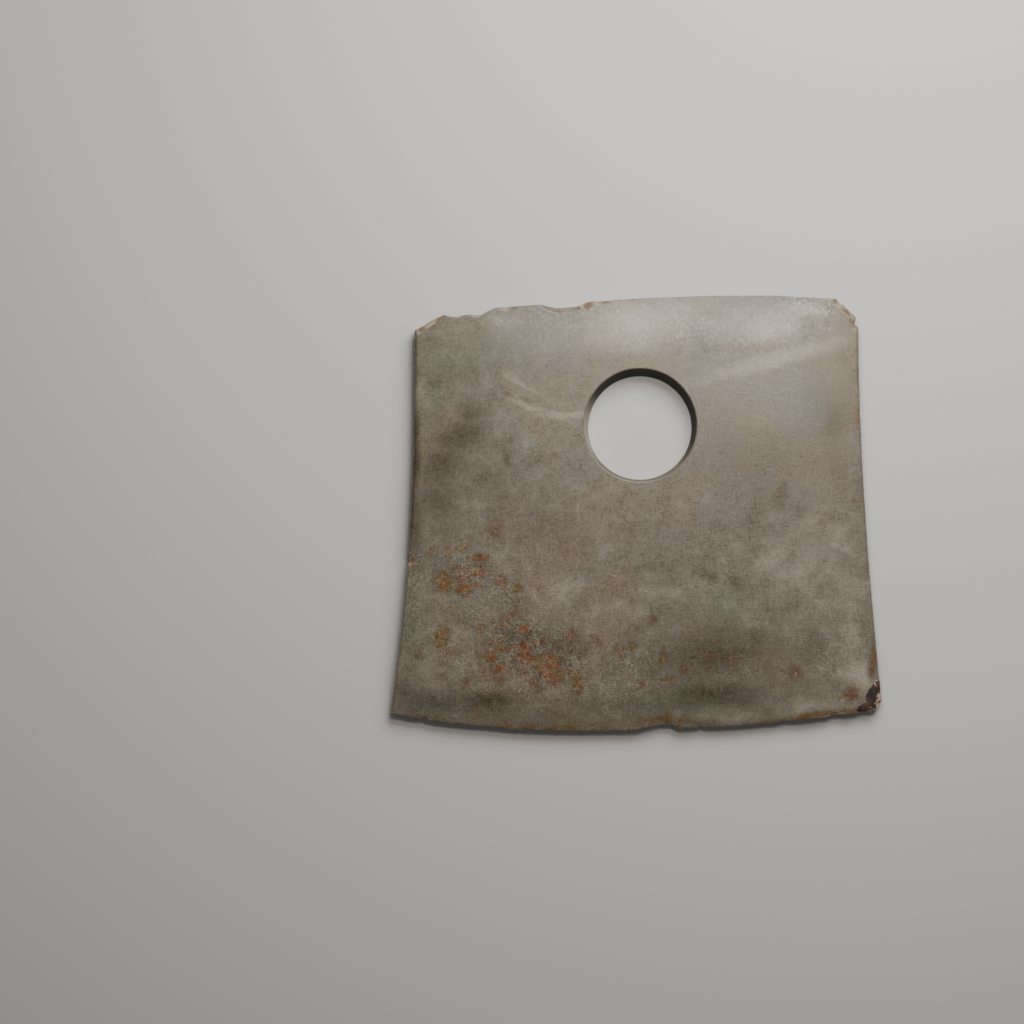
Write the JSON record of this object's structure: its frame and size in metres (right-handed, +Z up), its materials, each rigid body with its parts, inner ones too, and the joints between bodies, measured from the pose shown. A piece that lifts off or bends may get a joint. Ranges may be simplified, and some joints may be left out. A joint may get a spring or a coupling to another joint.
{
  "type": "jade axe head",
  "caption": "Flat perforated jade axe head: a broad polished slab with a large drilled hole near the butt, flared sides and a chipped convex cutting edge.",
  "frame": {"origin": "centre of the bounding box at the underside, on the surface that the axe head lies on", "axes": "+X along the cutting edge, +Y from the cutting edge towards the butt, +Z up out of the face with the wide mouth of the hole"},
  "size_m": [0.1636, 0.145, 0.0075],
  "materials": {
    "jade": "worn satin polish, grey-green stone with darker clouds, pale veins and rust stains, rough cream and brown breaks"
  },
  "bodies": {
    "root": {"axe_head": "jade"}
  },
  "joints": []
}
